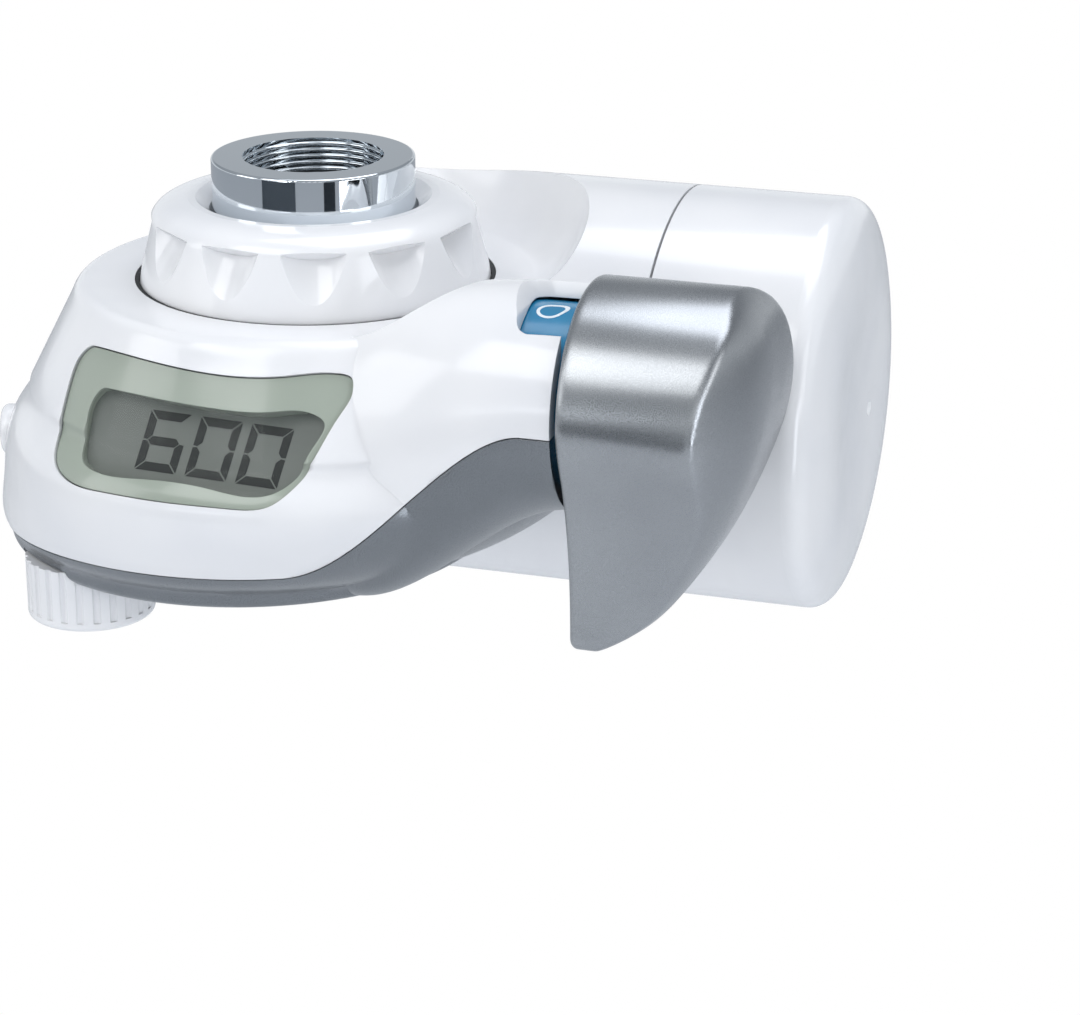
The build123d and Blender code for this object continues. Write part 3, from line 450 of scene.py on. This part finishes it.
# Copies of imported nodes: vertices closer than this are one, and edges below this angle are smooth
MERGE_MM = 0.0005
SMOOTH_DEG = 24.0


def in_soft_zone(spot):
    """True at the lever's folds, at the neck's foot and on the joint of cone and bowl."""
    x, y, z = spot / MM
    on_lever = x > LEVER_FROM_X and y < LEVER_BEFORE_Y
    on_neck = NECK_X[0] < x < NECK_X[1] and y < NECK_BEFORE_Y and z < NECK_BELOW_Z
    on_joint = abs(z - JOINT_Z) < JOINT_HALF_BAND and x * x + y * y > JOINT_OUTSIDE_RADIUS ** 2
    return on_lever or on_neck or on_joint


def search_tree(spots):
    """Tree that finds the nearest of some points."""
    tree = KDTree(len(spots))
    for i, spot in enumerate(spots):
        tree.insert(spot, i)
    tree.balance()
    return tree


def mark_creases(bm):
    """Store at each vertex the radius, in metres, that the finish gives the creases near it."""
    layer = bm.verts.layers.float.new(SOFTNESS)
    low, high = (math.radians(deg) for deg in CREASE_DEG)
    crease, sharp = [], []
    for edge in bm.edges:
        if len(edge.link_faces) != 2:
            continue
        angle = edge.calc_face_angle(0)
        ends = [vert.co.copy() for vert in edge.verts]
        middle = (ends[0] + ends[1]) / 2
        if angle > high:
            sharp += [*ends, middle]
        elif angle > low and in_soft_zone(middle):
            crease += [*ends, middle]
    if not crease or not sharp:
        return
    trees = [search_tree(spots) for spots in (crease, sharp)]
    for vert in bm.verts:
        near, hard = (tree.find(vert.co)[2] / MM for tree in trees)
        if near < CREASE_REACH:
            least = JOINT_SOFT if abs(vert.co.z / MM - JOINT_Z) < JOINT_NEAR else 0.0
            vert[layer] = min(CREASE_SOFT, max(least, hard - SHARP_CLEARANCE)) * MM


def cut_copy(node, name, body, slot, cutter=None):
    """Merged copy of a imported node, less a cutter if there is one; it stands for the node."""
    bm = bmesh.new()
    bm.from_mesh(frame["nodes"][node].data)
    bmesh.ops.remove_doubles(bm, verts=bm.verts[:], dist=MERGE_MM * MM)
    mesh = mesh_of(bm, name)
    if cutter:
        mesh = less(mesh, cutter)
    mesh.shade_smooth()
    bm = bmesh.new()
    bm.from_mesh(mesh)
    smooth = math.radians(SMOOTH_DEG)
    for edge in bm.edges:
        edge.smooth = len(edge.link_faces) == 2 and edge.calc_face_angle(0) < smooth
    mark_creases(bm)
    bm.to_mesh(mesh)
    bm.free()
    piece = add_piece(mesh, name, MATERIALS[slot], body)
    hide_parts(node)


# Window over the drum: the notch of the solids, with flanks that slope outwards as it rises. A
# level is a height over the valve's axis and a margin round the notch's own outline
VALVE_Y = -25.0
VALVE_Z = -26.5
WINDOW_LEFT_X = 44.2
WINDOW_FRONT_Y = -36.0
WINDOW_BACK_Y = -22.0
WINDOW_CORNER = 2.5
WINDOW_LEVELS = [(7.0, -0.05), (13.4, -0.05), (14.2, 0.15), (16.0, 1.5), (17.6, 3.0), (21.0, 6.0)]
NECK_END_X = 51.5
PAST_NECK = 3.0
CORNER_STEPS = 8

# Shares of the margin that the window's other sides and corners open by
FRONT_SHARE = 0.2
BACK_SHARE = 0.8
CORNER_SHARE = 0.6


def window_outline(height, margin):
    """Rounded outline of the window at one height over the valve's axis."""
    wider, tighter = max(margin, 0.0), max(-margin, 0.0)
    left, right = WINDOW_LEFT_X - margin, NECK_END_X + PAST_NECK
    front = WINDOW_FRONT_Y - wider * FRONT_SHARE + tighter
    back = WINDOW_BACK_Y + wider * BACK_SHARE - tighter
    r = WINDOW_CORNER + wider * CORNER_SHARE
    points = [(right, front), (right, back)]
    for (x, y), start in (((left + r, back - r), 90), ((left + r, front + r), 180)):
        for i in range(CORNER_STEPS + 1):
            a = math.radians(start + 90 * i / CORNER_STEPS)
            points.append((x + r * math.cos(a), y + r * math.sin(a)))
    return [(x, y, VALVE_Z + height) for x, y in points]


def open_window():
    """Upper shell with its window open down to the drum."""
    cutter = ring_loft([window_outline(*level) for level in WINDOW_LEVELS])
    cut_copy("upper_housing", "windowed_shell", "housing", "white_plastic", cutter)


# Black ring in the groove round the nut, a painted shadow of the gap between the nut's skirt and the
# ledge: how far its foot and its top lie under the ledge
LEDGE_Z = -19.0
SHADOW_RING_DROP = (1.0, 0.12)
SHADOW_RING_RADII = (27.62, 28.25)
SHADOW_RING_STEPS = 128


def groove_shadow_ring():
    """Black ring in the groove between the nut's skirt and the ledge, in the rubber finish: painted
    shadow of the gap there.
    """
    inner, outer = SHADOW_RING_RADII
    low, high = (LEDGE_Z - drop for drop in SHADOW_RING_DROP)
    corners = [(inner, low), (outer, low), (outer, high), (inner, high)]
    bm = closed_band([[(r * math.cos(a), r * math.sin(a), z) for a in turns(SHADOW_RING_STEPS)]
                      for r, z in corners])
    piece_from(bm, "groove_shadow_ring", MATERIALS["black_rubber"], "housing")


# Thread in the adapter's bore
THREAD_RADIUS = 11.0
THREAD_PITCH = 1.0
THREAD_SPAN = (-9.6, -0.7)
THREAD_RIDGE = 0.32
THREAD_STEPS = 72
THREAD_SIDES = 6


def thread_tree():
    """Geometry nodes: a ridge that winds along Z."""
    tree = bpy.data.node_groups.new("thread ridge", "GeometryNodeTree")
    kinds = {"Turns": "NodeSocketFloat", "Radius": "NodeSocketFloat", "Rise": "NodeSocketFloat",
             "Ridge": "NodeSocketFloat", "Foot": "NodeSocketFloat", "Finish": "NodeSocketMaterial"}
    for name, kind in kinds.items():
        tree.interface.new_socket(name, in_out="INPUT", socket_type=kind)
    tree.interface.new_socket("Geometry", in_out="OUTPUT", socket_type="NodeSocketGeometry")
    given = add(tree, "NodeGroupInput").outputs
    path = add(tree, "GeometryNodeCurveSpiral", Resolution=THREAD_STEPS, Rotations=given["Turns"],
               Start_Radius=given["Radius"], End_Radius=given["Radius"], Height=given["Rise"])
    section = add(tree, "GeometryNodeCurvePrimitiveCircle", Resolution=THREAD_SIDES,
                  Radius=given["Ridge"])
    ridge = add(tree, "GeometryNodeCurveToMesh", Curve=path.outputs["Curve"],
                Profile_Curve=section.outputs["Curve"], Fill_Caps=True)
    foot = add(tree, "ShaderNodeCombineXYZ", Z=given["Foot"])
    placed = add(tree, "GeometryNodeTransform", Geometry=ridge.outputs["Mesh"],
                 Translation=foot.outputs["Vector"])
    real = add(tree, "GeometryNodeRealizeInstances", Geometry=placed.outputs["Geometry"])
    dressed = add(tree, "GeometryNodeSetMaterial", Geometry=real.outputs["Geometry"],
                  Material=given["Finish"])
    add(tree, "NodeGroupOutput", Geometry=dressed.outputs["Geometry"])
    return tree


def adapter_thread():
    """Thread ridges in the adapter's bore, as a plain mesh."""
    low, high = THREAD_SPAN
    wanted = {"Turns": (high - low) / THREAD_PITCH, "Radius": THREAD_RADIUS * MM,
              "Rise": (high - low) * MM, "Ridge": THREAD_RIDGE * MM, "Foot": low * MM,
              "Finish": MATERIALS["chrome"]}
    tree = thread_tree()
    carrier = bpy.data.objects.new("thread_carrier", bpy.data.meshes.new("thread_carrier"))
    bpy.context.scene.collection.objects.link(carrier)
    step = carrier.modifiers.new("thread", "NODES")
    step.node_group = tree
    for item in tree.interface.items_tree:
        if item.in_out == "INPUT":
            step[item.identifier] = wanted[item.name]
    depsgraph = bpy.context.evaluated_depsgraph_get()
    mesh = bpy.data.meshes.new_from_object(carrier.evaluated_get(depsgraph))
    bpy.data.objects.remove(carrier)
    bm = bmesh.new()
    bm.from_mesh(mesh)
    bpy.data.meshes.remove(mesh)
    piece = piece_from(bm, "adapter_thread", MATERIALS["chrome"], "housing")
    piece.data.shade_smooth()


# Cross recesses in the heads of the lower shell's screws, cut from CROSS_START under each head
SCREW_PLACES = [(-34.0, 20.0), (-33.0, -7.0), (14.0, -21.0)]
CROSS_REACH = 1.5
CROSS_HALF = 0.32
CROSS_DEPTH = 1.1
CROSS_TAPER = 0.45
CROSS_START = 1.0


def cross_outline(x, y, z, shrink):
    """Outline of a cross recess at one height, shrunk by a factor."""
    a, b = CROSS_REACH * shrink, CROSS_HALF * shrink
    arms = [(a, -b), (a, b), (b, b), (b, a), (-b, a), (-b, b), (-a, b), (-a, -b), (-b, -b),
            (-b, -a), (b, -a), (b, -b)]
    return [(x + u, y + v, z) for u, v in arms]


def screw_recesses():
    """Steel screws with a cross recess in each head."""
    head_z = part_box("housing_screws")[0][2] / MM
    levels = [(head_z - CROSS_START, 1.0), (head_z, 1.0), (head_z + CROSS_DEPTH, CROSS_TAPER)]
    bm = bmesh.new()
    for x, y in SCREW_PLACES:
        mesh = ring_loft([cross_outline(x, y, z, shrink) for z, shrink in levels])
        bm.from_mesh(mesh)
        bpy.data.meshes.remove(mesh)
    cut_copy("housing_screws", "cross_screws", "housing", "steel", mesh_of(bm, "crosses"))


# Display: its plane and the panel's depth are those of the solids, and u and v run right and up
# in that plane
DISPLAY_DEG = -95.0
DISPLAY_RADIUS = 43.75
DISPLAY_Z = -31.9
DISPLAY_TILT = 27.5
PANEL_SINK = 5.95
READING = "600"
SEGMENTS_OF = {"0": "abcdef", "6": "acdefg"}
DIGIT_HEIGHT = 9.2
DIGIT_WIDTH = 6.9
DIGIT_PITCH = 8.45
DIGIT_FIRST_U = -6.5
DIGIT_MIDDLE_V = -1.0
DIGIT_SLANT = 0.12
STROKE = 1.35
STROKE_GAP = 0.16
INK_HEIGHT = 0.06
INK_FOOT = 0.02


def display_matrix():
    """Right, up and outward axes of the display's plane, at its middle."""
    turn, tilt = math.radians(DISPLAY_DEG), math.radians(DISPLAY_TILT)
    out = Vector((math.cos(turn) * math.cos(tilt), math.sin(turn) * math.cos(tilt),
                  math.sin(tilt)))
    right = Vector((-math.sin(turn), math.cos(turn), 0))
    up = out.cross(right)
    middle = metres(DISPLAY_RADIUS * math.cos(turn), DISPLAY_RADIUS * math.sin(turn), DISPLAY_Z)
    basis = Matrix((right, up, out)).transposed().to_4x4()
    return Matrix.Translation(middle) @ basis


def mirrored(points, across, upright):
    """Points with each coordinate times its sign."""
    return [(x * across, y * upright) for x, y in points]


def segment_outlines():
    """The seven mitred bars of one digit, about its middle, by their usual letters."""
    w, h, t, g = DIGIT_WIDTH / 2, DIGIT_HEIGHT / 2, STROKE, STROKE_GAP
    top = [(-w + g, h), (w - g, h), (w - t - g, h - t), (-w + t + g, h - t)]
    right = [(w, h - g), (w, g), (w - t / 2, g / 2), (w - t, t / 2 + g / 2), (w - t, h - t - g)]
    middle = [(-w + t / 2 + g, 0), (-w + t + g, t / 2), (w - t - g, t / 2), (w - t / 2 - g, 0),
              (w - t - g, -t / 2), (-w + t + g, -t / 2)]
    return {"a": top, "b": right, "c": mirrored(right, 1, -1), "d": mirrored(top, 1, -1),
            "e": mirrored(right, -1, -1), "f": mirrored(right, -1, 1), "g": middle}


def lcd_digits():
    """Raised dark segments of the reading, on the panel's face."""
    bm = bmesh.new()
    outlines = segment_outlines()
    for place, figure in enumerate(READING):
        for letter in SEGMENTS_OF[figure]:
            low, high = [], []
            for x, y in outlines[letter]:
                u = DIGIT_FIRST_U + place * DIGIT_PITCH + x + y * DIGIT_SLANT
                v = DIGIT_MIDDLE_V + y
                low.append(bm.verts.new(metres(u, v, -PANEL_SINK - INK_FOOT)))
                high.append(bm.verts.new(metres(u, v, -PANEL_SINK + INK_HEIGHT)))
            bm.faces.new(high)
            bm.faces.new(low[::-1])
            wall(bm, low, high)
    bmesh.ops.transform(bm, matrix=display_matrix(), verts=bm.verts)
    piece_from(bm, "lcd_digits", SEGMENT_INK, "housing")


# Print on the blue drum: a circle drawn out to a point, as the outline of a drop
DRUM_RADIUS = 13.8
DROP_X = 47.3
DROP_DEG = 101.0
DROP_RADIUS = 2.05
DROP_LINE = 0.5
DROP_STEPS = 48
POINT_DEG = 35.0
POINT_REACH = 0.45
POINT_SHARPNESS = 6
PRINT_HEIGHT = 0.05
PRINT_FOOT = 0.02


def drop_outline(scale, lift):
    """Points of the drop at one size, wrapped round the drum with a lift over its foot."""
    points = []
    for a in turns(DROP_STEPS):
        point = max(0.0, math.cos(a - math.radians(POINT_DEG))) ** POINT_SHARPNESS * POINT_REACH
        reach = DROP_RADIUS * scale * (1 + point)
        turn = math.radians(DROP_DEG) - reach * math.sin(a) / DRUM_RADIUS
        r = DRUM_RADIUS - PRINT_FOOT + lift
        points.append((DROP_X + reach * math.cos(a), VALVE_Y + r * math.cos(turn),
                       VALVE_Z + r * math.sin(turn)))
    return points


def drum_icon():
    """White outline of a drop, wrapped round the drum."""
    inner = 1.0 - DROP_LINE / DROP_RADIUS
    bm = closed_band([drop_outline(1.0, 0.0), drop_outline(1.0, PRINT_HEIGHT),
                      drop_outline(inner, PRINT_HEIGHT), drop_outline(inner, 0.0)])
    piece_from(bm, "drum_icon", PRINT_WHITE, "lever")


# Camera: place in millimetres, angles in degrees, clipping in metres
CAMERA_PLACE = (180.0, -451.0, 121.7)
CAMERA_AZIMUTH = 17.6
CAMERA_ELEVATION = 20.4
FOCAL_PIXELS = 3200.0
IMAGE_WIDTH = 1080.0
SENSOR_MM = 36.0
NEAR_CLIP = 0.01


def camera():
    """Camera at the photograph's place."""
    data = bpy.data.cameras.new("camera")
    data.lens = FOCAL_PIXELS / IMAGE_WIDTH * SENSOR_MM
    data.sensor_width = SENSOR_MM
    data.sensor_fit = "HORIZONTAL"
    data.clip_start = NEAR_CLIP
    made = bpy.data.objects.new("camera", data)
    made.location = metres(*CAMERA_PLACE)
    made.rotation_euler = (math.radians(90 - CAMERA_ELEVATION), 0, math.radians(CAMERA_AZIMUTH))
    bpy.context.scene.collection.objects.link(made)
    bpy.context.scene.camera = made


# Lamps: name, place and size in metres, power in watts and tint
LAMP_AIM = (0.02, 0.0, -0.04)
LAMP_WHITE = "#FFFFFF"
LAMP_COOL = "#F6F9FF"
STRIP_COOL = "#F4F8FF"
LAMPS = [
    ("key", (-0.34, -0.78, 0.80), (0.75, 0.60), 3.9, LAMP_WHITE),
    ("left", (-0.95, -0.55, 0.30), (0.50, 0.60), 1.8, LAMP_WHITE),
    ("bounce", (-0.35, -1.05, -0.15), (0.60, 0.40), 1.2, LAMP_COOL),
    ("front", (0.45, -0.95, 0.30), (0.50, 0.60), 0.4, LAMP_WHITE),
    ("lid", (0.20, 0.25, 1.10), (1.10, 0.90), 8.5, LAMP_COOL),
    ("strip", (0.80, -0.50, -0.14), (0.25, 0.45), 1.4, STRIP_COOL),
    ("side", (1.15, -0.30, 0.25), (0.50, 0.60), 1.8, LAMP_WHITE),
]


def lights():
    """Soft studio light: a wide lid overhead, a key in front, fills round it, a low strip."""
    for name, place, size, power, tint in LAMPS:
        data = bpy.data.lights.new(name, "AREA")
        data.shape = "RECTANGLE"
        data.size, data.size_y = size
        data.energy = power
        data.color = linear(tint)[:3]
        made = bpy.data.objects.new(name, data)
        made.location = place
        aim = Vector(LAMP_AIM) - Vector(place)
        made.rotation_euler = aim.to_track_quat("-Z", "Y").to_euler()
        bpy.context.scene.collection.objects.link(made)


# Surroundings by the height of the direction looked in, from -1 straight down to 1 straight up
SURROUND_LEVELS = [(-1.0, "#D6D9DD"), (-0.25, "#DEE2E6"), (0.05, "#DEE2E6"), (0.35, "#92979D"),
                   (0.8, "#A8ACB1")]
PLAIN_WHITE = (1, 1, 1, 1)


def world():
    """Surroundings pale up to the horizon and grey over it, and white where the camera looks."""
    made = bpy.data.worlds.new("studio")
    bpy.context.scene.world = made
    made.use_nodes = True
    tree = made.node_tree
    tree.nodes.clear()
    way = add(tree, "ShaderNodeTexCoord").outputs["Generated"]
    parts = add(tree, "ShaderNodeSeparateXYZ", Vector=way)
    height = add(tree, "ShaderNodeMapRange", Value=parts.outputs["Z"], From_Min=-1.0, From_Max=1.0)
    ramp = add(tree, "ShaderNodeValToRGB", Fac=height.outputs["Result"])
    while len(ramp.color_ramp.elements) < len(SURROUND_LEVELS):
        ramp.color_ramp.elements.new(0.5)
    for stop, (level, colour) in zip(ramp.color_ramp.elements, SURROUND_LEVELS):
        stop.position = (level + 1) / 2
        stop.color = linear(colour)
    surround = add(tree, "ShaderNodeBackground", Color=ramp.outputs["Color"], Strength=1.0)
    plain = add(tree, "ShaderNodeBackground", Color=PLAIN_WHITE, Strength=1.0)
    path = add(tree, "ShaderNodeLightPath")
    both = add(tree, "ShaderNodeMixShader", i0=path.outputs["Is Camera Ray"],
               i1=surround.outputs["Background"], i2=plain.outputs["Background"])
    add(tree, "ShaderNodeOutputWorld", Surface=both.outputs["Shader"])


# Staged planes, which aren't part of the filter: places in metres, colours and a roughness
FLOOR_Z = -0.42
FLOOR_HALF = 3.0
FLOOR_GREY = "#E1E3E6"
DULL = 0.9
CARD_BLACK = "#20262C"
CARD_DEG = 38.8
CARD_DISTANCE = 0.9
CARD_WIDTH = 0.2
CARD_TOP = -0.05
FLAG_GREY = "#4A5056"
FLAG_X = (-0.72, 0.02)
FLAG_Y = -0.92
FLAG_TOP = -0.04


def staged_plane(name, corners, material):
    """Flat staged plane that isn't part of the filter."""
    bm = bmesh.new()
    bm.faces.new([bm.verts.new(corner) for corner in corners])
    mesh = mesh_of(bm, name)
    mesh.materials.append(material)
    made = bpy.data.objects.new(name, mesh)
    bpy.context.scene.collection.objects.link(made)


def floor():
    """Pale floor far under the part, white where the camera sees it."""
    made, tree = start_material("pale studio floor")
    matt = add(tree, "ShaderNodeBsdfPrincipled", Base_Color=linear(FLOOR_GREY), Roughness=DULL)
    glow = add(tree, "ShaderNodeEmission", Color=PLAIN_WHITE, Strength=1.0)
    path = add(tree, "ShaderNodeLightPath")
    both = add(tree, "ShaderNodeMixShader", i0=path.outputs["Is Camera Ray"],
               i1=matt.outputs["BSDF"], i2=glow.outputs["Emission"])
    add(tree, "ShaderNodeOutputMaterial", Surface=both.outputs["Shader"])
    corners = [(x * FLOOR_HALF, y * FLOOR_HALF, FLOOR_Z)
               for x, y in ((-1, -1), (1, -1), (1, 1), (-1, 1))]
    staged_plane("floor", corners, made)


def upright_cloth(name, colour, left, right, top):
    """Dark cloth from the floor to a height, which shows only in reflections."""
    made, tree = start_material(name)
    matt = add(tree, "ShaderNodeBsdfPrincipled", Base_Color=linear(colour), Roughness=DULL)
    clear = add(tree, "ShaderNodeBsdfTransparent")
    path = add(tree, "ShaderNodeLightPath")
    both = add(tree, "ShaderNodeMixShader", i0=path.outputs["Is Glossy Ray"],
               i1=clear.outputs["BSDF"], i2=matt.outputs["BSDF"])
    add(tree, "ShaderNodeOutputMaterial", Surface=both.outputs["Shader"])
    corners = [(*left, FLOOR_Z), (*right, FLOOR_Z), (*right, top), (*left, top)]
    staged_plane(name, corners, made)


def flags():
    """A narrow dark card to the right of the camera and a wide grey flag to its left."""
    turn = math.radians(CARD_DEG)
    out = Vector((math.sin(turn), -math.cos(turn))) * CARD_DISTANCE
    side = Vector((math.cos(turn), math.sin(turn))) * CARD_WIDTH / 2
    upright_cloth("dark_card", CARD_BLACK, out - side, out + side, CARD_TOP)
    left, right = ((x, FLAG_Y) for x in FLAG_X)
    upright_cloth("front_flag", FLAG_GREY, left, right, FLAG_TOP)


bpy.context.scene.view_settings.view_transform = "Standard"
dress_solids()
open_window()
cut_copy("lower_trim", "keel_shell", "housing", "grey_trim")
cut_copy("display_frame", "bezel", "housing", "pale_green_frame")
# A black ring as painted shadow in the groove round the nut
groove_shadow_ring()
adapter_thread()
screw_recesses()
cut_copy("selector_lever", "lever_shell", "lever", "silver_lever")
lcd_digits()
drum_icon()
camera()
lights()
world()
floor()
flags()
